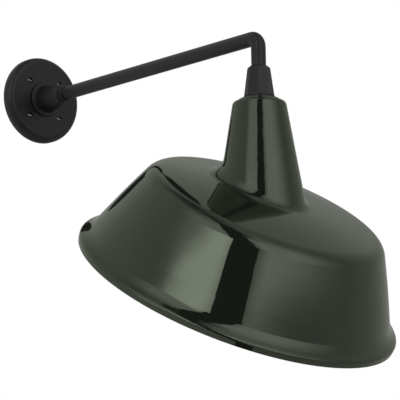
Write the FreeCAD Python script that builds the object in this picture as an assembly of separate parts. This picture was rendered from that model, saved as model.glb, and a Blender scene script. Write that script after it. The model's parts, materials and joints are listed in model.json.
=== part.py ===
import FreeCAD, Part
import math
import os

# Wall light: a round cast backplate, a straight pipe arm with a tight elbow, a faceted hub
# and a one-piece enamelled angle shade whose dish is tilted back towards the wall.
# Millimetres. The origin is the centre of the wall face, +Z is up and the arm runs along -Y.
# "Out" is the distance from the wall along -Y; "drop" is the distance below the arm's axis.

# ---- driving dimensions -------------------------------------------------------------------

ARM_REACH = 543.2            # wall to the axis of the stem
TUBE_OD = 21.34              # half-inch pipe
TUBE_WALL = 2.77
ELBOW_RADIUS = 14.5          # of the pipe's centre line
STEM_LENGTH = 66.0           # arm axis to the stem's lower end
TUBE_START_OUT = 4.6
RUNNING_FIT = 0.05           # radial, between a shaft and its bore
THREAD_FIT = 0.05            # radial, between a screw and its tapped hole
STEP = 0.3                   # clearance round pieces that need not touch

# Backplate
GASKET_THICK = 1.5
GASKET_INSET = 0.6           # the gasket's edges lie this far inside the backplate's rim
PLATE_RADIUS = 70.3
PLATE_DEPTH = 15.4
PLATE_EDGE_ROUND = 10.5
PLATE_WALL = 5.0
BEAD_RADIUS = 28.0           # bead at the foot of the boss
BEAD_HEIGHT = 4.8
BEAD_ROUND = 2.3
BOSS_FOOT_RADIUS = 22.4
BOSS_OUT = 67.5              # wall to the boss's front face
BOSS_FRONT_WALL = 4.3        # pipe to the edge of the boss's front face
BOSS_FRONT_ROUND = 2.6
BOSS_FOOT_ROUND = 1.4

# Screws through the backplate
SCREW_SPACING = 57.8         # side of the square of four
SCREW_SHANK_RADIUS = 2.1
SCREW_HEAD_RADIUS = 4.1
SCREW_HEAD_HEIGHT = 2.2
SCREW_SLOT_WIDTH = 1.2
SCREW_SLOT_DEPTH = 1.1
SCREW_SLOT_TURN = -7.0       # degrees between one screw's slot and the next
COUNTERBORE_RADIUS = 4.5
COUNTERBORE_DEPTH = 2.9
PILLAR_RADIUS = 7.0
PILLAR_GAP = 0.4             # between the pillars and the mounting plate's collars

# Mounting plate inside the backplate
MOUNT_PLATE_THICK = 2.0
MOUNT_PLATE_GAP = 1.6        # radial, inside the backplate's rim
MOUNT_COLLAR_WALL = 2.0
MOUNT_COLLAR_HEIGHT = 2.4
BOX_SCREW_SPACING = 88.9     # outlet-box screws, 3 1/2 inches apart
BOX_SLOT_WIDTH = 4.8
BOX_SLOT_LENGTH = 11.0
WIRE_HOLE_RADIUS = 15.0
GROUND_SCREW_DROP = 30.0
GROUND_SCREW_RADIUS = 2.0
GROUND_HEAD_ACROSS = 7.9
GROUND_HEAD_HEIGHT = 3.0
GROUND_LUG_THICK = 0.8
GROUND_LUG_RADIUS = 5.4

# Pieces on the pipe at the wall
LOCKNUT_ACROSS = 31.8
LOCKNUT_THICK = 4.4
COLLAR_LENGTH = 9.5
COLLAR_WALL = 2.5
COLLAR_ROUND = 1.6
BUSHING_LIP = 1.0
BUSHING_DEPTH = 9.0
BUSHING_WALL = 1.0
SET_SCREW_RADIUS = 3.0
SET_SCREW_SOCKET = 1.5       # radius of the hexagon socket's corners
SET_SCREW_SOCKET_DEPTH = 2.4
SET_SCREW_RECESS = 0.4
ARM_SET_SCREW_OUT = 53.0

# Hub between the stem and the shade
HUB_SIDES = 8
HUB_TOP_DROP = 43.0
HUB_HEIGHT = 45.0
HUB_TOP_WALL = 5.4           # pipe to the corners of the top
HUB_CHAMFER_WALL = 2.3       # pipe to where the chamfer starts
HUB_CHAMFER_HEIGHT = 2.6
HUB_FOOT_WALL = 11.03        # pipe to the corners at the skirt
HUB_SKIRT_STEP = 0.5         # skirt beyond the facets' corners
HUB_SKIRT_HEIGHT = 2.8
HUB_SKIRT_ROUND = 1.0
HUB_STOP_THICK = 3.0         # shoulder under the stem's end
HUB_SET_SCREW_DROP = 57.0
HUB_GASKET_THICK = 0.8

# Nipple, washers and locknut that hold the shade and the lampholder
NIPPLE_RADIUS = 6.6
NIPPLE_BORE = 4.7
NIPPLE_LENGTH = 30.0
WASHER_INSET = 2.5           # inside the edge of the neck's flat seat
WASHER_THICK = 1.2
LOCK_WASHER_RADIUS = 10.5
LOCK_WASHER_THICK = 1.5
SHADE_NUT_ACROSS = 19.0
SHADE_NUT_THICK = 4.0

# Shade neck, about the stem's axis
SHADE_WALL = 1.4
SEAT_MARGIN = 0.6            # flat seat beyond the hub's skirt
SEAT_ROUND = 8.0
CAP_RADIUS = 29.8
CAP_FALL = 2.6               # the top slopes down from the seat to the cap's corner
CAP_HEIGHT = 4.8
CAP_ROUND = 1.8
STEP_ROUND = 0.8
SHOULDER_FALL = 1.2
SHOULDER_RADIUS = 38.15
SHOULDER_ROUND = 7.0
NECK_TAPER = 9.64            # degrees from the vertical
NECK_REACH = 213.5           # length of the neck's cone, its end hidden inside the dish
NECK_FILLET = 20.0           # outside, where the neck meets the dish

# Shade dish, about its own tilted axis
DISH_TILT = 32.2             # degrees, the opening turned down and back to the wall
DISH_CROSSING_DROP = 271.0   # where the dish's axis crosses the stem's axis
DISH_TOP_RISE = 29.0         # crossing up to the level of the crown's corner
CROWN_RADIUS = 173.8
CROWN_RISE = 16.6
CROWN_BREAK = 76.0           # radius where the crown's outline turns down
CROWN_ROUND = 27.5
SIDE_HEIGHT = 114.0
SIDE_RADIUS = 226.3
SIDE_BULGE = 1.4             # how far the side swells at its middle
SIDE_ROUND = 1500.0
FLARE_ROUND = 27.0
FLARE_HEIGHT = 9.65
RIM_RADIUS = 239.4
RIM_ROUND = 5.0
RIM_HEIGHT = 9.0
RIM_TAPER = 0.8
HEM_RADIUS = 1.9             # wired edge inside the rim

# Lampholder
HOLDER_CAP_RADIUS = 19.5
HOLDER_CAP_HEIGHT = 14.0
HOLDER_CAP_ROUND = 3.0
HOLDER_CAP_WALL = 1.4
HOLDER_BOSS_RADIUS = 10.0
HOLDER_RADIUS = 20.5
HOLDER_HEIGHT = 44.0
HOLDER_ROUND = 2.0
HOLDER_FLOOR = 14.0          # porcelain above the screw shell
HOLDER_SCREW_RADIUS = 1.8
HOLDER_SCREW_OFFSET = 15.0
HOLDER_SCREW_LENGTH = 9.0    # into the porcelain
HOLDER_SCREW_HEAD = 3.2
HOLDER_SCREW_HEAD_HEIGHT = 1.8
SHELL_RADIUS = 14.4
SHELL_WALL = 0.5
SHELL_LENGTH = 27.0
SHELL_GAP = 1.2              # porcelain's mouth to the shell
SHELL_FLOOR_HOLE = 6.5
THREAD_TURNS = 5
THREAD_PITCH = 3.63
THREAD_DEPTH = 0.4
TONGUE_WIDTH = 5.0
TONGUE_THICK = 0.6
TONGUE_FALL = 3.0
TONGUE_LENGTH = 10.0
TERMINAL_RADIUS = 1.7
TERMINAL_HEAD = 3.3
TERMINAL_HEAD_HEIGHT = 1.6
TERMINAL_DROP = 6.5          # below the top of the porcelain
TERMINAL_OFFSET = 17.0       # stem's axis to the seat of the terminal's head

# Bulb, about the stem's axis
BULB_CONTACT_RADIUS = 4.8
BULB_CONTACT_HEIGHT = 1.6
BULB_INSULATOR_RADIUS = 11.0
BULB_INSULATOR_HEIGHT = 3.0
BULB_CAP_PLAY = 0.4          # radial, between the bulb's threads and the screw shell
BULB_CAP_WALL = 0.4
BULB_CAP_LENGTH = 24.0
BULB_SEAL_PLAY = 0.3         # radial, between the cap and the sealed end of the glass in it
BULB_SEAL_LENGTH = 6.0
BULB_NECK_RADIUS = 15.0
BULB_NECK_LENGTH = 12.0
BULB_NECK_ROUND = 25.0
BULB_FLARE_LENGTH = 33.0
BULB_FLARE_ROUND = 22.0
BULB_RADIUS = 34.0
BULB_LENGTH = 128.0          # contact to the crown of the glass
BULB_GLASS_WALL = 0.9

# Wires
WIRE_RADIUS = 1.25
WIRE_SPREAD = 1.6            # sideways from the pipe's axis
WIRE_BED = 0.4               # between the lowest line of the bushing's bore and the wires
WIRE_START_OUT = 0.5
WIRE_SPLIT_DROP = 40.0       # above it the wires stay with the arm, below it with the shade
LEAD_BEND = 6.0
LEAD_NIPPLE_SPREAD = 2.6
LEAD_TERMINAL_SPREAD = 10.0
LEAD_STRAIGHT = 8.0          # run below the swivel plane before a lead turns to the nipple
LEAD_TAIL = 3.0              # past its terminal

# ---- places worked out from the dimensions ------------------------------------------------

X_AXIS = FreeCAD.Vector(1, 0, 0)
UP = FreeCAD.Vector(0, 0, 1)
DOWN = FreeCAD.Vector(0, 0, -1)
OUT = FreeCAD.Vector(0, -1, 0)
WALL_CENTRE = FreeCAD.Vector(0, 0, 0)
STEM_TOP = FreeCAD.Vector(0, -ARM_REACH, 0)

TUBE_RADIUS = TUBE_OD / 2
TUBE_BORE = TUBE_RADIUS - TUBE_WALL
BUSHING_BORE = TUBE_BORE - THREAD_FIT - BUSHING_WALL
WIRE_SAG = BUSHING_BORE - WIRE_RADIUS - WIRE_BED
PLATE_FACE_OUT = GASKET_THICK + PLATE_DEPTH
PLATE_CAVITY_OUT = PLATE_FACE_OUT - PLATE_WALL
CAVITY_RADIUS = PLATE_RADIUS - PLATE_WALL
MOUNT_PLATE_RADIUS = CAVITY_RADIUS - MOUNT_PLATE_GAP
SCREW_SEAT_OUT = PLATE_FACE_OUT - COUNTERBORE_DEPTH
BOSS_FRONT_RADIUS = TUBE_RADIUS + BOSS_FRONT_WALL
HUB_FOOT_DROP = HUB_TOP_DROP + HUB_HEIGHT
HUB_TOP_RADIUS = TUBE_RADIUS + HUB_TOP_WALL
HUB_FOOT_RADIUS = TUBE_RADIUS + HUB_FOOT_WALL
HUB_SKIRT_RADIUS = HUB_FOOT_RADIUS + HUB_SKIRT_STEP
SEAT_RADIUS = HUB_SKIRT_RADIUS + SEAT_MARGIN
WASHER_RADIUS = SEAT_RADIUS - WASHER_INSET
SHADE_TOP_DROP = HUB_FOOT_DROP + HUB_GASKET_THICK
SHADE_SEAT_DROP = SHADE_TOP_DROP + SHADE_WALL
NIPPLE_TOP_DROP = STEM_LENGTH + HUB_STOP_THICK
NIPPLE_END_DROP = NIPPLE_TOP_DROP + NIPPLE_LENGTH
WASHER_END_DROP = SHADE_SEAT_DROP + WASHER_THICK
NUT_TOP_DROP = WASHER_END_DROP + LOCK_WASHER_THICK
HOLDER_CAP_DROP = NUT_TOP_DROP + SHADE_NUT_THICK + STEP
HOLDER_DROP = HOLDER_CAP_DROP + HOLDER_CAP_HEIGHT
HOLDER_END_DROP = HOLDER_DROP + HOLDER_HEIGHT
TERMINAL_CENTRE = STEM_TOP + DOWN * (HOLDER_DROP + TERMINAL_DROP)
SHELL_DROP = HOLDER_DROP + HOLDER_FLOOR
BULB_TOP_DROP = SHELL_DROP + TONGUE_THICK + TONGUE_FALL
BULB_CAP_DROP = BULB_TOP_DROP + BULB_CONTACT_HEIGHT + BULB_INSULATOR_HEIGHT
BULB_CAP_END = BULB_CAP_DROP + BULB_CAP_LENGTH
BULB_CAP_RADIUS = SHELL_RADIUS - SHELL_WALL - THREAD_DEPTH - BULB_CAP_PLAY
BULB_SEAL_RADIUS = BULB_CAP_RADIUS - BULB_CAP_WALL - BULB_SEAL_PLAY
DISH_AXIS = FreeCAD.Vector(0, math.sin(math.radians(DISH_TILT)), -math.cos(math.radians(DISH_TILT)))
DISH_CENTRE = STEM_TOP + DOWN * DISH_CROSSING_DROP - DISH_AXIS * DISH_TOP_RISE


# ---- outlines and turned shapes -----------------------------------------------------------

def unit(vector):
    """The direction of a vector."""
    direction = FreeCAD.Vector(vector)
    direction.normalize()
    return direction


def rounded_corner(before, corner, after, radius):
    """Where a corner's arc starts, its middle and its end."""
    arriving = unit(corner - before)
    leaving = unit(after - corner)
    half_turn = arriving.getAngle(leaving) / 2
    reach = radius * math.tan(half_turn)
    inward = unit(leaving - arriving)
    centre = corner + inward * (radius / math.cos(half_turn))
    return corner - arriving * reach, centre - inward * radius, corner + leaving * reach


def rounded_wire(points, rounds, closed):
    """A wire through the points, each corner replaced by a tangent arc of its own radius."""
    count = len(points)
    edges = []
    stops = []
    for index, corner in enumerate(points):
        at_end = not closed and index in (0, count - 1)
        if at_end or not rounds[index]:
            stops.append((corner, None, corner))
            continue
        before = points[index - 1]
        after = points[(index + 1) % count]
        stops.append(rounded_corner(before, corner, after, rounds[index]))
    for index, (start, middle, end) in enumerate(stops):
        if middle is not None:
            edges.append(Part.Arc(start, middle, end).toShape())
        if index == count - 1 and not closed:
            break
        next_start = stops[(index + 1) % count][0]
        if end.distanceToPoint(next_start) > 1e-6:
            edges.append(Part.makeLine(end, next_start))
    return Part.Wire(edges)


def turned(outline, base=STEM_TOP, along=DOWN):
    """A solid of revolution; the outline is a list of (along, radius, corner round)."""
    points = [base + along * distance + X_AXIS * radius for distance, radius, _ in outline]
    rounds = [corner for _, _, corner in outline]
    face = Part.Face(rounded_wire(points, rounds, True))
    return face.revolve(base, along, 360)


def ring(start, end, outer, inner, base=STEM_TOP, along=DOWN):
    """A plain ring or, with no inner radius, a plain disc."""
    solid = Part.makeCylinder(outer, end - start, base + along * start, along)
    if inner:
        solid = solid.cut(Part.makeCylinder(inner, end - start, base + along * start, along))
    return solid


def prism(sides, corner_radius, start, end, base, along, turn=0.0):
    """A solid with a regular polygon's section; the first corner is turned from the X axis."""
    across = unit(along.cross(X_AXIS))
    corners = []
    for number in range(sides):
        angle = math.radians(turn + 360.0 * number / sides)
        offset = X_AXIS * (corner_radius * math.cos(angle)) + across * (corner_radius * math.sin(angle))
        corners.append(base + along * start + offset)
    face = Part.Face(Part.makePolygon(corners + corners[:1]))
    return face.extrude(along * (end - start))


def hexagon(across_flats, start, end, base=STEM_TOP, along=DOWN):
    """A hexagonal prism of a given width across its flats."""
    return prism(6, across_flats / math.sqrt(3), start, end, base, along)


def fuse_all(solids):
    """One shape from several that touch."""
    return solids[0].fuse(solids[1:]).removeSplitter()


def rod_along(points, bend, radius):
    """A round rod along straight runs joined by tangent arcs."""
    path = rounded_wire(points, [bend] * len(points), False)
    section = Part.Wire(Part.makeCircle(radius, points[0], points[1] - points[0]))
    return path.makePipeShell([section], True, False)


def inset_outline(outline, inset):
    """The same outline moved inwards by a wall's thickness, with its rounds to match."""
    directions = []
    for (a1, r1, _), (a2, r2, _) in zip(outline, outline[1:]):
        length = math.hypot(a2 - a1, r2 - r1)
        directions.append(((a2 - a1) / length, (r2 - r1) / length))
    moved = []
    for index, (along, radius, corner) in enumerate(outline):
        a1, r1 = directions[max(index - 1, 0)]
        a2, r2 = directions[min(index, len(directions) - 1)]
        scale = inset / (1 + a1 * a2 + r1 * r2)
        turning = a1 * r2 - r1 * a2
        change = math.copysign(inset, turning) if corner else 0
        moved.append((along + (r1 + r2) * scale, radius - (a1 + a2) * scale, corner + change))
    return moved


def screw_places():
    """Centres of the four screws, on the wall plane."""
    half = SCREW_SPACING / 2
    return [FreeCAD.Vector(x, 0, z) for x in (-half, half) for z in (-half, half)]


# ---- pieces at the wall -------------------------------------------------------------------

def wall_gasket():
    return ring(0, GASKET_THICK, PLATE_RADIUS - GASKET_INSET, CAVITY_RADIUS + GASKET_INSET,
                WALL_CENTRE, OUT)


def mounting_plate():
    plate = ring(0, MOUNT_PLATE_THICK, MOUNT_PLATE_RADIUS, WIRE_HOLE_RADIUS, WALL_CENTRE, OUT)
    collar_end = MOUNT_PLATE_THICK + MOUNT_COLLAR_HEIGHT
    hole_radius = SCREW_SHANK_RADIUS + THREAD_FIT
    collar_radius = hole_radius + MOUNT_COLLAR_WALL
    collars = [ring(0, collar_end, collar_radius, 0, place, OUT) for place in screw_places()]
    plate = fuse_all([plate] + collars)
    for place in screw_places():
        plate = plate.cut(ring(0, collar_end, hole_radius, 0, place, OUT))
    for side in (-1, 1):
        centre = FreeCAD.Vector(side * BOX_SCREW_SPACING / 2, 0, 0)
        plate = plate.cut(box_slot(centre))
    ground_hole = ring(0, MOUNT_PLATE_THICK, GROUND_SCREW_RADIUS + THREAD_FIT, 0,
                       DOWN * GROUND_SCREW_DROP, OUT)
    return plate.cut(ground_hole)


def box_slot(centre):
    """The space of one slot for an outlet-box screw, lying along X."""
    half_run = (BOX_SLOT_LENGTH - BOX_SLOT_WIDTH) / 2
    ends = [centre - X_AXIS * half_run, centre + X_AXIS * half_run]
    rounds = [ring(0, MOUNT_PLATE_THICK, BOX_SLOT_WIDTH / 2, 0, end, OUT) for end in ends]
    corner = ends[0] + DOWN * (BOX_SLOT_WIDTH / 2) + OUT * MOUNT_PLATE_THICK
    middle = Part.makeBox(2 * half_run, MOUNT_PLATE_THICK, BOX_SLOT_WIDTH, corner)
    return fuse_all([middle] + rounds)


def ground_screw():
    base = DOWN * GROUND_SCREW_DROP
    head_start = MOUNT_PLATE_THICK + GROUND_LUG_THICK
    head = hexagon(GROUND_HEAD_ACROSS, head_start, head_start + GROUND_HEAD_HEIGHT, base, OUT)
    shank = ring(0, head_start, GROUND_SCREW_RADIUS, 0, base, OUT)
    return fuse_all([head, shank])


def ground_wire():
    """A lug under the green screw and its lead, which leaves through the wire hole."""
    base = DOWN * GROUND_SCREW_DROP
    lug_end = MOUNT_PLATE_THICK + GROUND_LUG_THICK
    lug = ring(MOUNT_PLATE_THICK, lug_end, GROUND_LUG_RADIUS, GROUND_SCREW_RADIUS + THREAD_FIT,
               base, OUT)
    run_out = lug_end + WIRE_RADIUS
    start = DOWN * (GROUND_SCREW_DROP - GROUND_HEAD_ACROSS / 2 - STEP) + OUT * run_out
    exit_drop = WIRE_HOLE_RADIUS - 2 * WIRE_RADIUS
    turn_point = DOWN * exit_drop + OUT * run_out
    end = DOWN * exit_drop + OUT * WIRE_START_OUT
    lead = rod_along([start, turn_point, end], run_out - 2 * WIRE_START_OUT, WIRE_RADIUS)
    barrel = Part.makeCylinder(WIRE_RADIUS + GROUND_LUG_THICK / 2, GROUND_LUG_RADIUS, start, UP)
    return fuse_all([lug, barrel, lead])


def backplate():
    """Cast disc with a rounded edge, hollow behind, and the boss that carries the arm."""
    disc = turned([(GASKET_THICK, 0, 0), (GASKET_THICK, PLATE_RADIUS, 0),
                   (PLATE_FACE_OUT, PLATE_RADIUS, PLATE_EDGE_ROUND), (PLATE_FACE_OUT, 0, 0)],
                  WALL_CENTRE, OUT)
    cavity_round = PLATE_EDGE_ROUND - PLATE_WALL
    cavity = turned([(GASKET_THICK, 0, 0), (GASKET_THICK, CAVITY_RADIUS, 0),
                     (PLATE_CAVITY_OUT, CAVITY_RADIUS, cavity_round), (PLATE_CAVITY_OUT, 0, 0)],
                    WALL_CENTRE, OUT)
    bead_end = PLATE_FACE_OUT + BEAD_HEIGHT
    boss = turned([(PLATE_CAVITY_OUT, 0, 0), (PLATE_CAVITY_OUT, BEAD_RADIUS, 0),
                   (bead_end, BEAD_RADIUS, BEAD_ROUND), (bead_end, BOSS_FOOT_RADIUS, BOSS_FOOT_ROUND),
                   (BOSS_OUT, BOSS_FRONT_RADIUS, BOSS_FRONT_ROUND), (BOSS_OUT, 0, 0)],
                  WALL_CENTRE, OUT)
    pillar_start = MOUNT_PLATE_THICK + MOUNT_COLLAR_HEIGHT + PILLAR_GAP
    pillars = [ring(pillar_start, SCREW_SEAT_OUT, PILLAR_RADIUS, 0, place, OUT)
               for place in screw_places()]
    body = fuse_all([disc.cut(cavity), boss] + pillars)
    body = body.cut(ring(0, BOSS_OUT, TUBE_RADIUS + RUNNING_FIT, 0, WALL_CENTRE, OUT))
    for place in screw_places():
        body = body.cut(ring(0, PLATE_FACE_OUT, SCREW_SHANK_RADIUS + STEP, 0, place, OUT))
        body = body.cut(ring(SCREW_SEAT_OUT, PLATE_FACE_OUT, COUNTERBORE_RADIUS, 0, place, OUT))
    tapped = ring(TUBE_RADIUS, BOSS_FOOT_RADIUS, SET_SCREW_RADIUS + THREAD_FIT, 0,
                  OUT * ARM_SET_SCREW_OUT, UP)
    return body.cut(tapped)


def boss_radius_at(out):
    """Radius of the boss's cone at a distance from the wall."""
    foot_out = PLATE_FACE_OUT + BEAD_HEIGHT
    share = (out - foot_out) / (BOSS_OUT - foot_out)
    return BOSS_FOOT_RADIUS + share * (BOSS_FRONT_RADIUS - BOSS_FOOT_RADIUS)


def backplate_screws():
    screws = []
    for number, place in enumerate(screw_places()):
        head_end = SCREW_SEAT_OUT + SCREW_HEAD_HEIGHT
        head = turned([(SCREW_SEAT_OUT, 0, 0), (SCREW_SEAT_OUT, SCREW_HEAD_RADIUS, 0),
                       (head_end, SCREW_HEAD_RADIUS, SCREW_HEAD_HEIGHT / 2), (head_end, 0, 0)],
                      place, OUT)
        slot = Part.makeBox(2 * SCREW_HEAD_RADIUS, SCREW_SLOT_DEPTH, SCREW_SLOT_WIDTH,
                            FreeCAD.Vector(-SCREW_HEAD_RADIUS, 0, -SCREW_SLOT_WIDTH / 2))
        slot.rotate(WALL_CENTRE, OUT, number * SCREW_SLOT_TURN)
        slot.translate(place + OUT * head_end)
        shank = ring(0, SCREW_SEAT_OUT, SCREW_SHANK_RADIUS, 0, place, OUT)
        screws.append(fuse_all([head.cut(slot), shank]))
    return Part.makeCompound(screws)


def set_screw(tip, along, length):
    """Headless screw with a hexagon socket; the tip faces against its direction."""
    body = ring(0, length, SET_SCREW_RADIUS, 0, tip, along)
    socket = prism(6, SET_SCREW_SOCKET, length - SET_SCREW_SOCKET_DEPTH, length, tip, along)
    return body.cut(socket)


def arm_set_screw():
    tip = OUT * ARM_SET_SCREW_OUT + UP * (TUBE_RADIUS + RUNNING_FIT)
    length = boss_radius_at(ARM_SET_SCREW_OUT) - SET_SCREW_RECESS - TUBE_RADIUS - RUNNING_FIT
    return set_screw(tip, UP, length)


def arm_locknut():
    start = PLATE_CAVITY_OUT - LOCKNUT_THICK
    nut = hexagon(LOCKNUT_ACROSS, start, PLATE_CAVITY_OUT, WALL_CENTRE, OUT)
    return nut.cut(ring(start, PLATE_CAVITY_OUT, TUBE_RADIUS + THREAD_FIT, 0, WALL_CENTRE, OUT))


def arm_collar():
    """Round lock ring on the pipe, against the boss's front face."""
    end = BOSS_OUT + COLLAR_LENGTH
    outer = TUBE_RADIUS + COLLAR_WALL
    bore = TUBE_RADIUS + THREAD_FIT
    return turned([(BOSS_OUT, bore, 0), (BOSS_OUT, outer, 0), (end, outer, COLLAR_ROUND),
                   (end, bore, 0)], WALL_CENTRE, OUT)


def arm_route(start_out, end_drop, sideways=0.0, sag=0.0):
    """Corner points of a route through the arm, off its axis by a spread and a sag."""
    offset = X_AXIS * sideways
    start = OUT * start_out + DOWN * sag
    corner = STEM_TOP - OUT * sag + DOWN * sag
    return [start + offset, corner + offset, STEM_TOP - OUT * sag + DOWN * end_drop + offset]


def arm_tube():
    route = arm_route(TUBE_START_OUT, STEM_LENGTH)
    return rod_along(route, ELBOW_RADIUS, TUBE_RADIUS).cut(rod_along(route, ELBOW_RADIUS, TUBE_BORE))


def arm_bushing():
    """Plastic bushing that guards the wires at the pipe's end."""
    outer = BUSHING_BORE + BUSHING_WALL
    bore = BUSHING_BORE
    lip_start = TUBE_START_OUT - BUSHING_LIP
    return turned([(lip_start, bore, BUSHING_LIP / 2), (lip_start, TUBE_RADIUS, BUSHING_LIP / 2),
                   (TUBE_START_OUT, TUBE_RADIUS, 0), (TUBE_START_OUT, outer, 0),
                   (TUBE_START_OUT + BUSHING_DEPTH, outer, 0), (TUBE_START_OUT + BUSHING_DEPTH, bore, 0)],
                  WALL_CENTRE, OUT)


def arm_wire(side):
    """One supply wire, from the wall through the pipe and elbow to the swivel plane."""
    route = arm_route(WIRE_START_OUT, WIRE_SPLIT_DROP, side * WIRE_SPREAD, WIRE_SAG)
    return rod_along(route, ELBOW_RADIUS - WIRE_SAG, WIRE_RADIUS)


# ---- pieces that turn with the shade ------------------------------------------------------

def hub_section(corner_radius, drop):
    """One regular outline of the hub, a corner facing away from the wall."""
    corners = []
    for number in range(HUB_SIDES + 1):
        angle = math.radians(360.0 * number / HUB_SIDES)
        corners.append(STEM_TOP + DOWN * drop + X_AXIS * (corner_radius * math.sin(angle))
                       + OUT * (corner_radius * math.cos(angle)))
    return Part.makePolygon(corners)


def shade_hub():
    """Tapered faceted casting with a chamfered top and a round skirt."""
    skirt_drop = HUB_FOOT_DROP - HUB_SKIRT_HEIGHT
    facets = Part.makeLoft([hub_section(HUB_TOP_RADIUS, HUB_TOP_DROP),
                            hub_section(HUB_FOOT_RADIUS, skirt_drop)], True, True)
    chamfer_end = HUB_TOP_DROP + HUB_CHAMFER_HEIGHT
    chamfer_slope = (HUB_TOP_WALL - HUB_CHAMFER_WALL) / HUB_CHAMFER_HEIGHT
    wide = TUBE_RADIUS + HUB_CHAMFER_WALL + chamfer_slope * (skirt_drop - HUB_TOP_DROP)
    envelope = turned([(HUB_TOP_DROP, 0, 0), (HUB_TOP_DROP, TUBE_RADIUS + HUB_CHAMFER_WALL, 0),
                       (skirt_drop, wide, 0), (skirt_drop, 0, 0)])
    skirt = turned([(skirt_drop, 0, 0), (skirt_drop, HUB_SKIRT_RADIUS, HUB_SKIRT_ROUND),
                    (HUB_FOOT_DROP, HUB_SKIRT_RADIUS, 0), (HUB_FOOT_DROP, 0, 0)])
    body = fuse_all([facets.common(envelope), skirt])
    socket = ring(HUB_TOP_DROP, STEM_LENGTH, TUBE_RADIUS + RUNNING_FIT, 0)
    nipple_hole = ring(STEM_LENGTH, HUB_FOOT_DROP, NIPPLE_RADIUS + THREAD_FIT, 0)
    tapped = ring(TUBE_RADIUS, HUB_FOOT_RADIUS, SET_SCREW_RADIUS + THREAD_FIT, 0,
                  STEM_TOP + DOWN * HUB_SET_SCREW_DROP, hub_screw_direction())
    return body.cut(socket).cut(nipple_hole).cut(tapped)


def hub_screw_direction():
    """Out through the middle of the facet on the right, towards the wall."""
    angle = math.radians(180.0 - 180.0 / HUB_SIDES)
    return X_AXIS * math.sin(angle) + OUT * math.cos(angle)


def hub_set_screw():
    skirt_drop = HUB_FOOT_DROP - HUB_SKIRT_HEIGHT
    share = (HUB_SET_SCREW_DROP - HUB_TOP_DROP) / (skirt_drop - HUB_TOP_DROP)
    corner_radius = HUB_TOP_RADIUS + share * (HUB_FOOT_RADIUS - HUB_TOP_RADIUS)
    flat = corner_radius * math.cos(math.pi / HUB_SIDES)
    bore = TUBE_RADIUS + RUNNING_FIT
    along = hub_screw_direction()
    tip = STEM_TOP + DOWN * HUB_SET_SCREW_DROP + along * bore
    return set_screw(tip, along, flat - SET_SCREW_RECESS - bore)


def hub_gasket():
    return ring(HUB_FOOT_DROP, SHADE_TOP_DROP, HUB_SKIRT_RADIUS - GASKET_INSET,
                NIPPLE_RADIUS + STEP)


def hub_nipple():
    return ring(NIPPLE_TOP_DROP, NIPPLE_END_DROP, NIPPLE_RADIUS, NIPPLE_BORE)


def neck_outline():
    shoulder_drop = SHADE_TOP_DROP + CAP_HEIGHT
    cone_drop = shoulder_drop + SHOULDER_FALL
    widening = NECK_REACH * math.tan(math.radians(NECK_TAPER))
    return [(SHADE_TOP_DROP, 0, 0), (SHADE_TOP_DROP, SEAT_RADIUS, SEAT_ROUND),
            (SHADE_TOP_DROP + CAP_FALL, CAP_RADIUS, CAP_ROUND),
            (shoulder_drop, CAP_RADIUS, STEP_ROUND), (cone_drop, SHOULDER_RADIUS, SHOULDER_ROUND),
            (cone_drop + NECK_REACH, SHOULDER_RADIUS + widening, 0)]


def dish_outline():
    """Crown, side, flare and rim; the crown's round is the one that starts on the axis."""
    crown_turn = math.atan2(CROWN_RISE, CROWN_RADIUS - CROWN_BREAK)
    crown_sphere = CROWN_BREAK / math.tan(crown_turn / 2)
    side_middle = (CROWN_RADIUS + SIDE_RADIUS) / 2 + SIDE_BULGE
    flare_end = SIDE_HEIGHT + FLARE_HEIGHT
    return [(-CROWN_RISE, 0, 0), (-CROWN_RISE, CROWN_BREAK, crown_sphere),
            (0, CROWN_RADIUS, CROWN_ROUND), (SIDE_HEIGHT / 2, side_middle, SIDE_ROUND),
            (SIDE_HEIGHT, SIDE_RADIUS, FLARE_ROUND),
            (flare_end, RIM_RADIUS, RIM_ROUND), (flare_end + RIM_HEIGHT, RIM_RADIUS - RIM_TAPER, 0)]


def closed_to_axis(outline):
    """An outline closed along the axis, ready to be turned."""
    return outline + [(outline[-1][0], 0, 0)]


def is_neck_seam(edge):
    """True for an edge of the slanting loop where the neck meets the dish's crown."""
    box = edge.BoundBox
    return box.ZLength > CAP_RADIUS and CAP_RADIUS < box.XLength < RIM_RADIUS


def shade_body(inset):
    """The filled neck and dish, blended together, moved inwards by an inset."""
    neck = closed_to_axis(inset_outline(neck_outline(), inset))
    dish = inset_outline(dish_outline(), inset)
    rim_end, rim_radius, _ = dish[-1]
    dish = closed_to_axis(dish[:-1] + [(rim_end + inset, rim_radius, 0)])
    # The neck as a free-form surface, which blends cleanly with the crown's large sphere.
    body = fuse_all([turned(neck).toNurbs(), turned(dish, DISH_CENTRE, DISH_AXIS)])
    seams = [edge for edge in body.Edges if is_neck_seam(edge)]
    return body.makeFillet(NECK_FILLET + inset, seams)


def shade():
    """Pressed steel shade: neck, dish, flared rim and a wired edge, in one piece."""
    skin = shade_body(0).cut(shade_body(SHADE_WALL))
    rim_end, rim_radius, _ = dish_outline()[-1]
    hem_centre = rim_radius - HEM_RADIUS
    hem = Part.makeTorus(hem_centre, HEM_RADIUS, DISH_CENTRE + DISH_AXIS * (rim_end - HEM_RADIUS),
                         DISH_AXIS)
    skin = fuse_all([skin, hem])
    hole = ring(HUB_FOOT_DROP, WASHER_END_DROP, NIPPLE_RADIUS + STEP, 0)
    return skin.cut(hole)


def shade_washer():
    return ring(SHADE_SEAT_DROP, WASHER_END_DROP, WASHER_RADIUS, NIPPLE_RADIUS + STEP)


def lock_washer():
    return ring(WASHER_END_DROP, NUT_TOP_DROP, LOCK_WASHER_RADIUS, NIPPLE_RADIUS + STEP)


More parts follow.
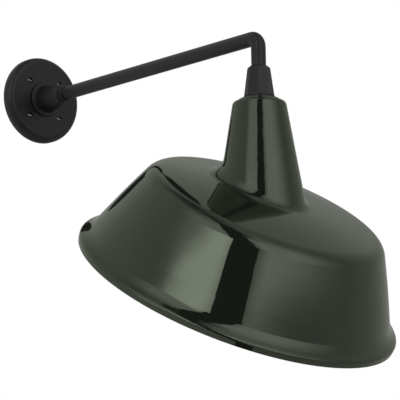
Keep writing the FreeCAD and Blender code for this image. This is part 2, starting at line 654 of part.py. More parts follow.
def shade_locknut():
    end = NUT_TOP_DROP + SHADE_NUT_THICK
    nut = hexagon(SHADE_NUT_ACROSS, NUT_TOP_DROP, end)
    return nut.cut(ring(NUT_TOP_DROP, end, NIPPLE_RADIUS + THREAD_FIT, 0))


def lampholder_cap():
    """Pressed cap with a tapped boss; it screws onto the nipple and closes the porcelain."""
    cap = turned([(HOLDER_CAP_DROP, 0, 0), (HOLDER_CAP_DROP, HOLDER_CAP_RADIUS, HOLDER_CAP_ROUND),
                  (HOLDER_DROP, HOLDER_CAP_RADIUS, 0), (HOLDER_DROP, 0, 0)])
    ceiling = HOLDER_CAP_DROP + HOLDER_CAP_WALL
    hollow_round = HOLDER_CAP_ROUND - HOLDER_CAP_WALL
    hollow_radius = HOLDER_CAP_RADIUS - HOLDER_CAP_WALL
    cap = cap.cut(turned([(ceiling, 0, 0), (ceiling, hollow_radius, hollow_round),
                          (HOLDER_DROP, hollow_radius, 0), (HOLDER_DROP, 0, 0)]))
    cap = fuse_all([cap, ring(HOLDER_CAP_DROP, NIPPLE_END_DROP, HOLDER_BOSS_RADIUS, 0)])
    cap = cap.cut(ring(HOLDER_CAP_DROP, HOLDER_DROP, NIPPLE_RADIUS + THREAD_FIT, 0))
    for base in holder_screw_places():
        cap = cap.cut(ring(HOLDER_CAP_DROP, HOLDER_DROP, HOLDER_SCREW_RADIUS + STEP, 0, base))
    return cap


def holder_screw_places():
    """The two screws that join the lampholder's cap to its porcelain."""
    return [STEM_TOP + OUT * (side * HOLDER_SCREW_OFFSET) for side in (-1, 1)]


def lampholder_screws():
    screws = []
    for base in holder_screw_places():
        head = ring(HOLDER_CAP_DROP - HOLDER_SCREW_HEAD_HEIGHT, HOLDER_CAP_DROP, HOLDER_SCREW_HEAD,
                    0, base)
        shank = ring(HOLDER_CAP_DROP, HOLDER_DROP + HOLDER_SCREW_LENGTH, HOLDER_SCREW_RADIUS, 0, base)
        screws.append(fuse_all([head, shank]))
    return Part.makeCompound(screws)


def lampholder_body():
    """Glazed porcelain body with a mouth for the screw shell."""
    body = turned([(HOLDER_DROP, 0, 0), (HOLDER_DROP, HOLDER_RADIUS, HOLDER_ROUND),
                   (HOLDER_END_DROP, HOLDER_RADIUS, HOLDER_ROUND), (HOLDER_END_DROP, 0, 0)])
    body = body.cut(ring(SHELL_DROP, HOLDER_END_DROP, SHELL_RADIUS + SHELL_GAP, 0))
    screw_hole = HOLDER_SCREW_RADIUS + THREAD_FIT
    for base in holder_screw_places():
        body = body.cut(ring(HOLDER_DROP, HOLDER_DROP + HOLDER_SCREW_LENGTH, screw_hole, 0, base))
    lead_end = HOLDER_DROP + TERMINAL_DROP + LEAD_TAIL
    for side in (-1, 1):
        sideways = X_AXIS * side
        body = body.cut(ring(LEAD_TERMINAL_SPREAD, TERMINAL_OFFSET, TERMINAL_RADIUS + THREAD_FIT, 0,
                             TERMINAL_CENTRE, sideways))
        body = body.cut(ring(TERMINAL_OFFSET, HOLDER_RADIUS, TERMINAL_HEAD + STEP, 0,
                             TERMINAL_CENTRE, sideways))
        lead_base = STEM_TOP + sideways * LEAD_TERMINAL_SPREAD
        body = body.cut(ring(HOLDER_DROP, lead_end + STEP, WIRE_RADIUS + STEP, 0, lead_base))
    return body


def terminal_screws():
    """Two side screws, each pressing on a lead."""
    screws = []
    tip = LEAD_TERMINAL_SPREAD + WIRE_RADIUS + THREAD_FIT
    for side in (-1, 1):
        shank = ring(tip, TERMINAL_OFFSET, TERMINAL_RADIUS, 0, TERMINAL_CENTRE, X_AXIS * side)
        head = ring(TERMINAL_OFFSET, TERMINAL_OFFSET + TERMINAL_HEAD_HEIGHT, TERMINAL_HEAD, 0,
                    TERMINAL_CENTRE, X_AXIS * side)
        screws.append(fuse_all([head, shank]))
    return Part.makeCompound(screws)


def lamp_lead(side):
    """One fixture wire, from the swivel plane through the nipple to its terminal."""
    wall_side = STEM_TOP - OUT * WIRE_SAG + X_AXIS * (side * WIRE_SPREAD)
    in_nipple = STEM_TOP + X_AXIS * (side * LEAD_NIPPLE_SPREAD)
    at_terminal = STEM_TOP + X_AXIS * (side * LEAD_TERMINAL_SPREAD)
    route = [wall_side + DOWN * WIRE_SPLIT_DROP,
             wall_side + DOWN * (WIRE_SPLIT_DROP + LEAD_STRAIGHT),
             in_nipple + DOWN * STEM_LENGTH,
             in_nipple + DOWN * (NIPPLE_END_DROP + STEP),
             at_terminal + DOWN * (HOLDER_DROP - STEP),
             at_terminal + DOWN * (HOLDER_DROP + TERMINAL_DROP + LEAD_TAIL)]
    return rod_along(route, LEAD_BEND, WIRE_RADIUS)


def threaded_sleeve(start, end, radius, wall, floor_hole):
    """Thin cup with rolled threads, drawn as shallow rings, and a floor with a round hole."""
    outline = [(start, radius, 0)]
    first = end - (THREAD_TURNS + 0.5) * THREAD_PITCH
    for number in range(THREAD_TURNS):
        turn_start = first + number * THREAD_PITCH
        outline.append((turn_start, radius, THREAD_DEPTH))
        outline.append((turn_start + THREAD_PITCH / 2, radius + THREAD_DEPTH, THREAD_DEPTH))
    outline.append((first + THREAD_TURNS * THREAD_PITCH, radius, THREAD_DEPTH))
    outline.append((end, radius, 0))
    inner = [(along, at_radius - wall, corner) for along, at_radius, corner in reversed(outline)]
    inner[-1] = (start + wall, radius - wall, 0)
    floor = [(start + wall, floor_hole, 0), (start, floor_hole, 0)]
    return turned(outline + inner + floor)


def screw_shell():
    return threaded_sleeve(SHELL_DROP, SHELL_DROP + SHELL_LENGTH, SHELL_RADIUS, SHELL_WALL,
                           SHELL_FLOOR_HOLE)


def centre_contact():
    """Sprung brass tongue, from the porcelain down to the bulb's contact."""
    quarter = TONGUE_LENGTH / 4
    upper = [(-2 * quarter, 0), (-quarter, 0), (quarter, TONGUE_FALL), (2 * quarter, TONGUE_FALL)]
    lower = [(place, fall + TONGUE_THICK) for place, fall in reversed(upper)]
    edge = X_AXIS * (-TONGUE_WIDTH / 2)
    corners = [STEM_TOP + OUT * place + DOWN * (SHELL_DROP + fall) + edge
               for place, fall in upper + lower]
    return Part.Face(Part.makePolygon(corners + corners[:1])).extrude(X_AXIS * TONGUE_WIDTH)


# ---- bulb ---------------------------------------------------------------------------------

def bulb_contact():
    end = BULB_TOP_DROP + BULB_CONTACT_HEIGHT
    return turned([(BULB_TOP_DROP, 0, 0), (BULB_TOP_DROP, BULB_CONTACT_RADIUS, BULB_CONTACT_HEIGHT / 2),
                   (end, BULB_CONTACT_RADIUS, 0), (end, 0, 0)])


def bulb_insulator():
    start = BULB_TOP_DROP + BULB_CONTACT_HEIGHT
    return turned([(start, 0, 0), (start, BULB_CONTACT_RADIUS + STEP, 0),
                   (BULB_CAP_DROP, BULB_INSULATOR_RADIUS, 0), (BULB_CAP_DROP, 0, 0)])


def bulb_cap():
    return threaded_sleeve(BULB_CAP_DROP, BULB_CAP_END, BULB_CAP_RADIUS, BULB_CAP_WALL,
                           BULB_CONTACT_RADIUS)


def bulb_glass():
    """Sealed pear-shaped glass, hollow."""
    seal = BULB_CAP_END - BULB_SEAL_LENGTH
    neck_end = BULB_CAP_END + BULB_NECK_LENGTH
    crown = BULB_TOP_DROP + BULB_LENGTH
    outline = [(seal, 0, 0), (seal, BULB_SEAL_RADIUS, BULB_GLASS_WALL * 2),
               (BULB_CAP_END + STEP, BULB_SEAL_RADIUS, BULB_SEAL_LENGTH),
               (neck_end, BULB_NECK_RADIUS, BULB_NECK_ROUND),
               (neck_end + BULB_FLARE_LENGTH, BULB_RADIUS, BULB_FLARE_ROUND),
               (crown, BULB_RADIUS, BULB_RADIUS - BULB_GLASS_WALL), (crown, 0, 0)]
    return turned(outline).cut(turned(inset_outline(outline, BULB_GLASS_WALL)))


PIECES = {
    "wall_gasket": wall_gasket,
    "mounting_plate": mounting_plate,
    "ground_screw": ground_screw,
    "ground_wire": ground_wire,
    "backplate": backplate,
    "backplate_screws": backplate_screws,
    "arm_set_screw": arm_set_screw,
    "arm_locknut": arm_locknut,
    "arm_collar": arm_collar,
    "arm_tube": arm_tube,
    "arm_bushing": arm_bushing,
    "arm_wire_hot": lambda: arm_wire(-1),
    "arm_wire_neutral": lambda: arm_wire(1),
    "shade_hub": shade_hub,
    "hub_set_screw": hub_set_screw,
    "hub_gasket": hub_gasket,
    "hub_nipple": hub_nipple,
    "shade": shade,
    "shade_washer": shade_washer,
    "lock_washer": lock_washer,
    "shade_locknut": shade_locknut,
    "lampholder_cap": lampholder_cap,
    "lampholder_screws": lampholder_screws,
    "lampholder_body": lampholder_body,
    "terminal_screws": terminal_screws,
    "lamp_lead_hot": lambda: lamp_lead(-1),
    "lamp_lead_neutral": lambda: lamp_lead(1),
    "screw_shell": screw_shell,
    "centre_contact": centre_contact,
    "bulb_contact": bulb_contact,
    "bulb_insulator": bulb_insulator,
    "bulb_cap": bulb_cap,
    "bulb_glass": bulb_glass,
}


os.makedirs("parts", exist_ok=True)
for node, make in PIECES.items():
    piece = make()
    print(node, len(piece.Solids), round(piece.Volume, 1), piece.isValid())
    piece.exportStep("parts/" + node + ".step")
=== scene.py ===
import json
import math

import bmesh
import bpy
from mathutils import Euler, Matrix, Vector


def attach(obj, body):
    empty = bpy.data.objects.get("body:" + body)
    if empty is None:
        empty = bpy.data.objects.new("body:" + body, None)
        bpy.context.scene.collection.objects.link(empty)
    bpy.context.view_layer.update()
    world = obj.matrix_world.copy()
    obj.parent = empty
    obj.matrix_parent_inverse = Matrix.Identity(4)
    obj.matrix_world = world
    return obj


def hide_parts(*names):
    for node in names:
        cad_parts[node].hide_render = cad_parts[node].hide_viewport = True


# Looks of the wall light: two enamels on the shade, slotted screws, and a finish for every other piece.
# Metres. The origin is the centre of the wall face, +Z is up and the arm runs along -Y.
# "Out" is the distance from the wall along -Y; "drop" is the distance below the arm's axis.

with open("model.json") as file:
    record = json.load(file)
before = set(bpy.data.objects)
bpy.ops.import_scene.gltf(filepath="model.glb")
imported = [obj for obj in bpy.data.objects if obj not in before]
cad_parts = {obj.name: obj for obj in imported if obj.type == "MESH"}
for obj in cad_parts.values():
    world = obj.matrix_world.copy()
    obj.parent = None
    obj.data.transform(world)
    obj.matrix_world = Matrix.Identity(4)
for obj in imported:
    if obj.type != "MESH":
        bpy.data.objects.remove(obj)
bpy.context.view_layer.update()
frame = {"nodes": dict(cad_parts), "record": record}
nodes = frame["nodes"]
scene = bpy.context.scene

MM = 0.001

# ---- sizes and places on the light -----------------------------------------------------------

ARM_REACH = 543.2 * MM              # wall to the axis of the stem
PLATE_FACE_OUT = 16.9 * MM
STEM_TOP = Vector((0, -ARM_REACH, 0))

# Screws through the backplate
SCREW_SPACING = 57.8 * MM           # side of the square of four
SCREW_SEAT_DEPTH = 2.9 * MM         # of the recess round each screw
SCREW_SEAT_OUT = PLATE_FACE_OUT - SCREW_SEAT_DEPTH
SCREW_SHANK_RADIUS = 2.1 * MM
SCREW_HEAD_RADIUS = 4.1 * MM
SCREW_HEAD_HEIGHT = 2.2 * MM
SCREW_HEAD_ROUND = 0.2 * MM         # at the head's lower edge
SCREW_DOME_FALL = 0.9 * MM
SCREW_DOME_ANGLES = (0.0, 0.3, 0.6, 0.85, 1.05, 1.2)    # from the dome's middle to its edge, in radians
SCREW_SEGMENTS = 48
SCREW_TOP_OUT = SCREW_SEAT_OUT + SCREW_HEAD_HEIGHT
SCREW_GRAIN = 0.6 * MM
SLOT_WIDTH = 1.3 * MM
SLOT_DEPTH = 1.1 * MM
FIRST_SLOT_TURN = math.radians(6)
SLOT_TURN = math.radians(7)         # between one screw's slot and the next
# Depths of the painted highlight in each screw's slot: the glint of light there is put into the colour.
GLINT_STARTS_DEPTH = 0.7 * MM        # below the head's top, where the painted glint in the slot begins
GLINT_FULL_DEPTH = 1.0 * MM

# Shade dish, about its own tilted axis
DISH_TILT = math.radians(32.2)      # the opening is turned down and back to the wall
DISH_CROSSING_DROP = 271.0 * MM     # where the dish's axis crosses the stem's axis
DISH_TOP_RISE = 29.0 * MM           # crossing up to the level of the crown's corner
DISH_HOLLOW = 60.0 * MM             # depth of a point that the inner surface faces, from the crown's corner
RIM_END = 132.65 * MM               # depth of the rim's edge, from the same level
GREEN_LAP = 3.6 * MM                # the green enamel laps this far round the rim's edge
DISH_AXIS = Vector((0, math.sin(DISH_TILT), -math.cos(DISH_TILT)))
DISH_CENTRE = STEM_TOP + Vector((0, 0, -DISH_CROSSING_DROP)) - DISH_AXIS * DISH_TOP_RISE

# ---- sizes and places in the studio ----------------------------------------------------------

CAMERA_PLACE = Vector((-1.91354, -2.70159, -0.71001))
CAMERA_AZIMUTH = math.radians(-39.8377)     # to the left of straight in front of the wall
CAMERA_PITCH = math.radians(9.3412)         # looking up
CAMERA_ROLL = math.radians(-0.7543)
CAMERA_LENS = 185.44                        # mm, on a sensor 36 mm wide
CAMERA_SENSOR = 36.0
CAMERA_CLIP = 100.0

FRONT = Vector((math.sin(CAMERA_AZIMUTH), -math.cos(CAMERA_AZIMUTH), 0))    # level, towards the camera
RIGHT = Vector((-FRONT.y, FRONT.x, 0))                                      # level, to the camera's right

WALL_LEVEL = 0.72                   # light from the studio's walls, halfway
WALL_LEVEL_RIGHT = -0.14            # change to the camera's right
WALL_LEVEL_FRONT = -0.16            # change towards the camera
KEY_SLANT = 0.67                    # climb of the key's lower edge to the left; the key stands near the light

FLOOR_DROP = 1.45
FLOOR_RADIUS = 9.0
FLOOR_SEGMENTS = 96
FLOOR_WHITE = 0.8                   # share of plain white in the floor that the camera sees
FLOOR_CLOUDS = 1.25

FLAG_OUT = 1.19                     # in front of the origin, towards the camera
FLAG_OUTLINE = ((0.195, -FLOOR_DROP), (0.453, -FLOOR_DROP), (0.453, 0.0), (0.56, 1.1), (0.3, 1.1),
                (0.195, 0.33))      # to the right, and up
FLAG_NAP = 0.025


# ---- small helpers ---------------------------------------------------------------------------

def hex_colour(text):
    """An sRGB hex value as linear red, green and blue, and a full alpha."""
    channels = [int(text[i:i + 2], 16) / 255 for i in (1, 3, 5)]
    linear = [c / 12.92 if c <= 0.04045 else ((c + 0.055) / 1.055) ** 2.4 for c in channels]
    return (*linear, 1.0)


def add(tree, kind, inputs=None, stops=None, **settings):
    """Adds one node with its settings and links.

    inputs maps a socket's name or number to a value, to a socket, or to a node, which stands for its first
    output. stops are a colour ramp's two (position, colour) pairs.
    """
    node = tree.nodes.new(kind)
    for name, value in settings.items():
        setattr(node, name, value)
    for name, value in (inputs or {}).items():
        if isinstance(value, bpy.types.Node):
            value = value.outputs[0]
        if isinstance(value, bpy.types.NodeSocket):
            tree.links.new(value, node.inputs[name])
        else:
            node.inputs[name].default_value = value
    if stops:
        for element, (position, colour) in zip(node.color_ramp.elements, stops):
            element.position = position
            element.color = colour
    return node


def put(name, data):
    """A new object in the scene."""
    made = bpy.data.objects.new(name, data)
    scene.collection.objects.link(made)
    return made


def new_material(name):
    """A new material and its empty node tree."""
    material = bpy.data.materials.new(name)
    material.use_nodes = True
    tree = material.node_tree
    tree.nodes.clear()
    return material, tree


def mesh_of(bm, name):
    """A mesh with what the bmesh holds, which is then freed."""
    mesh = bpy.data.meshes.new(name)
    bm.to_mesh(mesh)
    bm.free()
    return mesh


def finished_mesh(piece):
    """The piece's mesh as its modifiers leave it."""
    bpy.context.view_layer.update()
    return bpy.data.meshes.new_from_object(piece.evaluated_get(bpy.context.evaluated_depsgraph_get()))


# ---- studio ----------------------------------------------------------------------------------

def make_camera():
    data = bpy.data.cameras.new("camera")
    data.sensor_width = CAMERA_SENSOR
    data.lens = CAMERA_LENS
    data.clip_end = CAMERA_CLIP
    camera = put("camera", data)
    level = Euler((math.radians(90) + CAMERA_PITCH, 0, CAMERA_AZIMUTH)).to_matrix()
    turn = level @ Matrix.Rotation(CAMERA_ROLL, 3, "Z")
    camera.matrix_world = Matrix.Translation(CAMERA_PLACE) @ turn.to_4x4()
    scene.camera = camera


def soft_patch(tree, strength, *edges):
    """A patch of the studio with soft edges, as a strength for every direction.

    Each edge is (angle, out, full): from out to full, in degrees, the patch fades in.
    """
    for angle, out, full in edges:
        edge = add(tree, "ShaderNodeMapRange", {"Value": angle, "From Min": math.radians(out),
                                                "From Max": math.radians(full)},
                   interpolation_type="SMOOTHSTEP")
        strength = add(tree, "ShaderNodeMath", {0: edge, 1: strength}, operation="MULTIPLY")
    return strength


def make_world():
    """A plain studio: soft boxes left and right of the camera, pale walls, darker above and behind.

    Azimuth starts at the line to the camera and grows to the camera's right.
    """
    world = bpy.data.worlds.new("studio")
    scene.world = world
    world.use_nodes = True
    tree = world.node_tree
    tree.nodes.clear()
    way = add(tree, "ShaderNodeTexCoord").outputs["Generated"]
    front = add(tree, "ShaderNodeVectorMath", {0: way, 1: FRONT}, operation="DOT_PRODUCT").outputs["Value"]
    right = add(tree, "ShaderNodeVectorMath", {0: way, 1: RIGHT}, operation="DOT_PRODUCT").outputs["Value"]
    height = add(tree, "ShaderNodeSeparateXYZ", {0: way}).outputs["Z"]
    azimuth = add(tree, "ShaderNodeMath", {0: right, 1: front}, operation="ARCTAN2")
    elevation = add(tree, "ShaderNodeMath", {0: height}, operation="ARCSINE")
    off_side = add(tree, "ShaderNodeMath", {0: azimuth}, operation="ABSOLUTE")
    above_edge = add(tree, "ShaderNodeMath", {0: azimuth, 1: KEY_SLANT, 2: elevation},
                     operation="MULTIPLY_ADD")

    light = add(tree, "ShaderNodeMath", {0: right, 1: WALL_LEVEL_RIGHT, 2: WALL_LEVEL},
                operation="MULTIPLY_ADD")
    light = add(tree, "ShaderNodeMath", {0: front, 1: WALL_LEVEL_FRONT, 2: light},
                operation="MULTIPLY_ADD")
    key = soft_patch(tree, 2.4, (azimuth, -55, -37), (azimuth, -2, -16), (above_edge, -7.5, -0.5),
                     (elevation, 30.5, 20.5))
    key_glow = soft_patch(tree, 1.1, (azimuth, -70, -30), (azimuth, 1, -1), (above_edge, -9, 1),
                          (elevation, 79, 45))
    low_key = soft_patch(tree, 1.7, (azimuth, -69, -59), (azimuth, -36, -48), (elevation, -4, 4),
                         (elevation, 20, 12))
    low_fill = soft_patch(tree, 0.2, (azimuth, -105, -65), (azimuth, 1, -1), (elevation, -70, -40),
                          (elevation, 8, -4))
    side = soft_patch(tree, 1.6, (azimuth, 6, 22), (azimuth, 92, 40), (elevation, -9, 3),
                      (elevation, 77, 23))
    for box in (key, key_glow, low_key, low_fill, side):
        light = add(tree, "ShaderNodeMath", {0: light, 1: box}, operation="ADD")

    overhead = soft_patch(tree, 0.85, (azimuth, -6, 2), (azimuth, 36, 24), (elevation, 39, 57))
    zenith = soft_patch(tree, 0.6, (elevation, 73, 85))
    behind_above = soft_patch(tree, 0.6, (off_side, 130, 170), (elevation, 60, 72))
    back_depth = add(tree, "ShaderNodeMapRange", {"Value": elevation, "From Min": math.radians(22),
                                                  "From Max": math.radians(38), "To Min": 0.62,
                                                  "To Max": 0.4}, interpolation_type="SMOOTHSTEP")
    behind = soft_patch(tree, back_depth, (off_side, 92, 172))
    for dark in (overhead, zenith, behind_above, behind):
        kept = add(tree, "ShaderNodeMath", {0: 1.0, 1: dark}, operation="SUBTRACT")
        light = add(tree, "ShaderNodeMath", {0: light, 1: kept}, operation="MULTIPLY")

    studio = add(tree, "ShaderNodeBackground", {"Color": (1, 1, 1, 1), "Strength": light})
    white = add(tree, "ShaderNodeBackground", {"Color": (1, 1, 1, 1), "Strength": 1.0})
    seen = add(tree, "ShaderNodeLightPath").outputs["Is Camera Ray"]
    mixed = add(tree, "ShaderNodeMixShader", {0: seen, 1: studio, 2: white})
    add(tree, "ShaderNodeOutputWorld", {"Surface": mixed})


def make_floor():
    """A pale floor well below the light; from underneath it isn't seen."""
    bm = bmesh.new()
    bmesh.ops.create_circle(bm, cap_ends=True, segments=FLOOR_SEGMENTS, radius=FLOOR_RADIUS,
                            matrix=Matrix.Translation((0, -ARM_REACH, -FLOOR_DROP)))
    floor = put("floor", mesh_of(bm, "floor"))
    floor.visible_glossy = False
    material, tree = new_material("painted_studio_floor")
    place = add(tree, "ShaderNodeTexCoord").outputs["Object"]
    cloud = add(tree, "ShaderNodeTexNoise", {"Vector": place, "Scale": 1 / FLOOR_CLOUDS})
    tone = add(tree, "ShaderNodeValToRGB", {0: cloud},
               stops=[(0.3, hex_colour("#f2f2f1")), (0.7, hex_colour("#f6f6f5"))])
    paint = add(tree, "ShaderNodeBsdfDiffuse", {"Color": tone})
    white = add(tree, "ShaderNodeEmission", {"Color": (1, 1, 1, 1), "Strength": 1.0})
    seen = add(tree, "ShaderNodeLightPath").outputs["Is Camera Ray"]
    whitened = add(tree, "ShaderNodeMath", {0: seen, 1: FLOOR_WHITE}, operation="MULTIPLY")
    pale = add(tree, "ShaderNodeMixShader", {0: whitened, 1: paint, 2: white})
    underneath = add(tree, "ShaderNodeNewGeometry").outputs["Backfacing"]
    clear = add(tree, "ShaderNodeBsdfTransparent")
    both = add(tree, "ShaderNodeMixShader", {0: underneath, 1: pale, 2: clear})
    add(tree, "ShaderNodeOutputMaterial", {"Surface": both})
    floor.data.materials.append(material)


def make_flag():
    """A black flag in front of the camera: the dark gap that the gloss shows between the soft boxes."""
    corners = [FRONT * FLAG_OUT + RIGHT * across + Vector((0, 0, height))
               for across, height in FLAG_OUTLINE]
    mesh = bpy.data.meshes.new("flag")
    mesh.from_pydata(corners, [], [range(len(corners))])
    flag = put("flag", mesh)
    flag.visible_camera = False
    flag.visible_diffuse = False
    flag.visible_shadow = False
    material, tree = new_material("black_felt_flag")
    place = add(tree, "ShaderNodeTexCoord").outputs["Object"]
    nap = add(tree, "ShaderNodeTexNoise", {"Vector": place, "Scale": 1 / FLAG_NAP})
    tone = add(tree, "ShaderNodeValToRGB", {0: nap},
               stops=[(0.3, hex_colour("#0c0c0c")), (0.7, hex_colour("#111111"))])
    felt = add(tree, "ShaderNodeBsdfDiffuse", {"Color": tone})
    add(tree, "ShaderNodeOutputMaterial", {"Surface": felt})
    mesh.materials.append(material)


# ---- finishes --------------------------------------------------------------------------------

def make_finish(name, tones, cloud_mm, grain, roughness, shader=None):
    """A finish whose tone wanders between two colours over a fine relief.

    cloud_mm is the size of the tone's clouds. The grain of the relief is (size in mm, height in mm, detail).
    The roughness is one number, or a pair between which it follows the clouds. shader holds values for
    other sockets of the Principled shader.
    """
    material, tree = new_material(name)
    place = add(tree, "ShaderNodeTexCoord").outputs["Object"]
    clouds = add(tree, "ShaderNodeTexNoise", {"Vector": place, "Scale": 1 / (cloud_mm * MM), "Detail": 3.0})
    low, high = tones
    colour = add(tree, "ShaderNodeValToRGB", {0: clouds},
                 stops=[(0.3, hex_colour(low)), (0.7, hex_colour(high))])
    size_mm, height_mm, detail = grain
    relief = add(tree, "ShaderNodeTexNoise", {"Vector": place, "Scale": 1 / (size_mm * MM),
                                              "Detail": detail})
    bumps = add(tree, "ShaderNodeBump", {"Height": relief, "Distance": height_mm * MM})
    if isinstance(roughness, tuple):
        smooth, rough = roughness
        roughness = add(tree, "ShaderNodeMapRange", {"Value": clouds, "To Min": smooth, "To Max": rough})
    surface = add(tree, "ShaderNodeBsdfPrincipled", {"Base Color": colour, "Roughness": roughness,
                                                     "Normal": bumps, **(shader or {})})
    add(tree, "ShaderNodeOutputMaterial", {"Surface": surface})
    return material


def plain_metal(name, tones, roughness, grain_mm):
    """Bare or plated metal; its grain shows in the tone, in the relief and in the roughness."""
    return make_finish(name, tones, grain_mm, (grain_mm, 0.01, 3.0), (roughness * 0.8, roughness * 1.2),
                       {"Metallic": 1.0})


def plain_solid(name, tones, roughness, grain_mm, height_mm=0.02, shader=None):
    """A moulded, foamed, filmed or glazed surface; its grain shows in the tone and in the relief."""
    return make_finish(name, tones, grain_mm, (grain_mm, height_mm, 3.0), roughness, shader)


FINISHES = {
    # Porcelain enamel fired on pressed steel: a hard gloss over a near-black green, with a slow ripple.
    # The colour lies in the glass itself, so reflections stay green at every angle. A share of the
    # metal model, whose base colour is the reflection's, gives that.
    "green_enamel": make_finish("fired_green_porcelain_enamel", ("#363b33", "#393e35"), 45.0,
                                (30.0, 0.02, 1.0), 0.035,
                                {"Metallic": 0.82, "IOR": 1.5, "Specular Tint": hex_colour("#f6fdee")}),
    # The same glass in white inside the shade: bright and glossy, with a faint flow in its tone.
    "white_enamel": make_finish("fired_white_porcelain_enamel", ("#e6e6e0", "#ededea"), 60.0,
                                (25.0, 0.02, 2.0), 0.08, {"IOR": 1.52}),
    # Polyester powder baked on iron: satin black with a fine orange peel and slightly uneven gloss.
    "black_powder_coat": make_finish("satin_black_powder_coat", ("#0a0a0b", "#0e0e0f"), 18.0,
                                     (1.1, 0.02, 2.0), (0.36, 0.42),
                                     {"IOR": 1.5, "Specular IOR Level": 0.25}),
    # Zinc plated on pressed steel: light grey and a little cloudy.
    "zinc_plated_steel": plain_metal("zinc_plated_pressed_steel", ("#a5a7a6", "#b9bab6"), 0.32, 4.0),
    # Nickel plated on turned steel: warm and bright, with fine tool marks.
    "bright_steel": plain_metal("turned_nickel_plated_steel", ("#b3b1ac", "#c6c4be"), 0.22, 0.8),
    # Black oxide on steel: a dark film with a dull sheen.
    "blackened_steel": plain_solid("black_oxide_steel", ("#1a1a1b", "#232324"), 0.38, 2.0),
    # Zinc plating dyed green: a clear green with metal under it.
    "green_screw": plain_metal("green_dyed_zinc", ("#1f7a3a", "#2a8a45"), 0.35, 2.0),
    # Rolled brass, a little dulled.
    "brass": plain_metal("rolled_brass", ("#c7a25a", "#d6b36b"), 0.28, 2.0),
    # Nickel plated on drawn brass: bright, and warmer than steel.
    "nickelled_brass": plain_metal("nickel_plated_brass", ("#bdb8ab", "#cdc9bd"), 0.2, 2.0),
    # A dab of solder: dull, pale grey.
    "solder": plain_metal("tin_solder", ("#a9aaab", "#bcbdbe"), 0.4, 1.0),
    # Closed-cell foam, cut from a sheet: matt, with a pitted surface.
    "foam": plain_solid("closed_cell_foam", ("#232324", "#2c2c2d"), 0.9, 0.8, 0.1),
    # Moulded rubber: matt and even.
    "gasket_rubber": plain_solid("moulded_rubber", ("#202021", "#272728"), 0.7, 1.0),
    # Moulded nylon: grey with a soft sheen.
    "bushing_plastic": plain_solid("moulded_nylon", ("#3a3a3a", "#424242"), 0.5, 2.0),
    # Extruded wire insulation: smooth and waxy.
    "wire_black": plain_solid("black_wire_insulation", ("#161616", "#1c1c1c"), 0.4, 2.0),
    "wire_white": plain_solid("white_wire_insulation", ("#e2e1da", "#e9e8e2"), 0.4, 2.0),
    "ground_insulation": plain_solid("green_wire_insulation", ("#14632c", "#1a7034"), 0.4, 2.0),
    # Glazed porcelain: off-white under a thick clear gloss.
    "porcelain": plain_solid("glazed_porcelain", ("#ecebe4", "#f1f0ea"), 0.12, 8.0, shader={"IOR": 1.5}),
    # Black glass fused into the bulb's cap: dark and glossy.
    "black_glass": plain_solid("fused_black_glass", ("#121216", "#18181c"), 0.1, 3.0, 0.01,
                               {"IOR": 1.52}),
    # Blown glass frosted inside: an even milky white, smooth outside.
    "bulb_glass": plain_solid("inside_frosted_bulb_glass", ("#efeee8", "#f3f2ee"), 0.25, 6.0, 0.005),
}


def slot_glint_screw_finish():
    """Slotted screws, dark on the head; deeper in the slot the colour turns bright, a painted highlight for
    the glint of light in the slot.
    """
    material, tree = new_material("dark_screw_painted_slot_glint")
    place = add(tree, "ShaderNodeTexCoord").outputs["Object"]
    inwards = add(tree, "ShaderNodeSeparateXYZ", {0: place}).outputs["Y"]
    # Painted highlight: from this depth down into the slot the colour goes from the dark head to bright,
    # standing in for the slot's glint.
    painted_glint = add(tree, "ShaderNodeMapRange", {"Value": inwards, "From Min": GLINT_STARTS_DEPTH - SCREW_TOP_OUT,
                                            "From Max": GLINT_FULL_DEPTH - SCREW_TOP_OUT})
    grain = add(tree, "ShaderNodeTexNoise", {"Vector": place, "Scale": 1 / SCREW_GRAIN, "Detail": 3.0})
    grain_and_glint = add(tree, "ShaderNodeMath", {0: grain, 1: 0.25, 2: painted_glint}, operation="MULTIPLY_ADD")
    # Dark head colour to the bright colour of the painted glint in the slot, with the grain mixed in.
    colour = add(tree, "ShaderNodeValToRGB", {0: grain_and_glint},
                 stops=[(0.25, hex_colour("#2b2b2c")), (1.0, hex_colour("#d3d1cb"))])
    marks = add(tree, "ShaderNodeBump", {"Height": grain, "Distance": 0.01 * MM})
    surface = add(tree, "ShaderNodeBsdfPrincipled", {"Base Color": colour, "Metallic": 1.0,
                                                     "Roughness": 0.3, "Normal": marks})
    add(tree, "ShaderNodeOutputMaterial", {"Surface": surface})
    return material


# ---- shade: the pressed shell in two enamels -------------------------------------------------

def make_enamelled_shade():
    """The shade's own surface, green outside and round the rim, white inside."""
    mesh = nodes["shade"].data.copy()
    piece = put("enamelled_shade", mesh)
    mesh.materials.clear()
    for finish in ("green_enamel", "white_enamel"):
        mesh.materials.append(FINISHES[finish])
    hollow = DISH_CENTRE + DISH_AXIS * DISH_HOLLOW
    for face in mesh.polygons:
        depth = (face.center - DISH_CENTRE).dot(DISH_AXIS)
        inside = face.normal.dot(face.center - hollow) < 0 and depth < RIM_END - GREEN_LAP
        face.material_index = 1 if inside else 0
    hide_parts("shade")
    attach(piece, "shade_head")


# ---- backplate screws: one screw, repeated at the corners of a square ------------------------

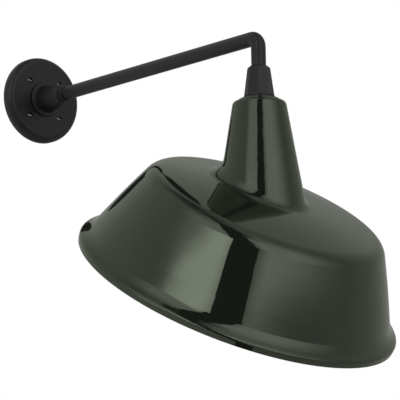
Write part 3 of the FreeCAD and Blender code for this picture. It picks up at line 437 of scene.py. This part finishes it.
def turned_screw():
    """The screw before its slot is cut, turned about the Y axis, its head out and its seat at the origin."""
    dome_end = SCREW_DOME_ANGLES[-1]
    outline = [(SCREW_HEAD_HEIGHT - SCREW_DOME_FALL * (1 - math.cos(angle)),
                SCREW_HEAD_RADIUS * math.sin(angle) / math.sin(dome_end)) for angle in SCREW_DOME_ANGLES]
    outline += [(SCREW_HEAD_ROUND, SCREW_HEAD_RADIUS), (0, SCREW_HEAD_RADIUS - SCREW_HEAD_ROUND),
                (0, SCREW_SHANK_RADIUS), (-SCREW_SEAT_OUT, SCREW_SHANK_RADIUS), (-SCREW_SEAT_OUT, 0)]
    bm = bmesh.new()
    corners = [bm.verts.new((radius, -out, 0)) for out, radius in outline]
    edges = [bm.edges.new(pair) for pair in zip(corners, corners[1:])]
    bmesh.ops.spin(bm, geom=corners + edges, cent=(0, 0, 0), axis=(0, 1, 0), angle=math.tau,
                   steps=SCREW_SEGMENTS)
    bmesh.ops.remove_doubles(bm, verts=bm.verts, dist=0.001 * MM)
    bmesh.ops.recalc_face_normals(bm, faces=bm.faces)
    return mesh_of(bm, "screw")


def slotted_screw():
    """One screw with a straight slot across its domed head."""
    screw = put("screw", turned_screw())
    bm = bmesh.new()
    slot_size = (3 * SCREW_HEAD_RADIUS, 2 * SLOT_DEPTH, SLOT_WIDTH, 1)
    bmesh.ops.create_cube(bm, size=1.0, matrix=Matrix.Translation((0, -SCREW_HEAD_HEIGHT, 0))
                          @ Matrix.Diagonal(slot_size))
    cutter = put("slot", mesh_of(bm, "slot"))
    cut = screw.modifiers.new("slot", "BOOLEAN")
    cut.object = cutter
    cut.solver = "EXACT"
    mesh = finished_mesh(screw)
    for made in (screw, cutter):
        bpy.data.objects.remove(made)
    return mesh


def screw_square_tree():
    """Puts a screw at each corner of a square on the plate, each turned a little more."""
    tree = bpy.data.node_groups.new("screws_in_a_square", "GeometryNodeTree")
    kinds = {"Geometry": "NodeSocketGeometry", "Spacing": "NodeSocketFloat", "Seat": "NodeSocketFloat",
             "First Turn": "NodeSocketFloat", "Turn": "NodeSocketFloat", "Finish": "NodeSocketMaterial"}
    sockets = {name: tree.interface.new_socket(name, in_out="INPUT", socket_type=kind)
               for name, kind in kinds.items()}
    tree.interface.new_socket("Geometry", in_out="OUTPUT", socket_type="NodeSocketGeometry")
    given = add(tree, "NodeGroupInput").outputs
    grid = add(tree, "GeometryNodeMeshGrid", {"Size X": given["Spacing"], "Size Y": given["Spacing"],
                                              "Vertices X": 2, "Vertices Y": 2})
    place = add(tree, "ShaderNodeCombineXYZ", {"Y": given["Seat"]})
    upright = add(tree, "GeometryNodeTransform", {"Geometry": grid, "Translation": place,
                                                  "Rotation": (math.radians(90), 0, 0)})
    number = add(tree, "GeometryNodeInputIndex")
    angle = add(tree, "ShaderNodeMath", {0: number, 1: given["Turn"], 2: given["First Turn"]},
                operation="MULTIPLY_ADD")
    turn = add(tree, "ShaderNodeCombineXYZ", {"Y": angle})
    copies = add(tree, "GeometryNodeInstanceOnPoints", {"Points": upright, "Instance": given["Geometry"],
                                                        "Rotation": turn})
    real = add(tree, "GeometryNodeRealizeInstances", {0: copies})
    finished = add(tree, "GeometryNodeSetMaterial", {"Geometry": real, "Material": given["Finish"]})
    add(tree, "NodeGroupOutput", {0: finished})
    return tree, {name: socket.identifier for name, socket in sockets.items()}


def make_backplate_screws():
    piece = put("backplate_screws_slotted", slotted_screw())
    repeat = piece.modifiers.new("square", "NODES")
    repeat.node_group, ids = screw_square_tree()
    values = {"Spacing": SCREW_SPACING, "Seat": -SCREW_SEAT_OUT, "First Turn": FIRST_SLOT_TURN,
              "Turn": SLOT_TURN, "Finish": slot_glint_screw_finish()}
    for name, value in values.items():
        repeat[ids[name]] = value
    mesh = finished_mesh(piece)
    piece.modifiers.clear()
    piece.data = mesh
    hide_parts("backplate_screws")
    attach(piece, "arm")


# ---- the scene -------------------------------------------------------------------------------

make_camera()
scene.view_settings.view_transform = "Standard"
make_world()
make_floor()
make_flag()

for subpart in frame["record"]["subparts"]:
    materials = nodes[subpart["node"]].data.materials
    materials.clear()
    materials.append(FINISHES[subpart["material_slot"]])

make_enamelled_shade()
make_backplate_screws()
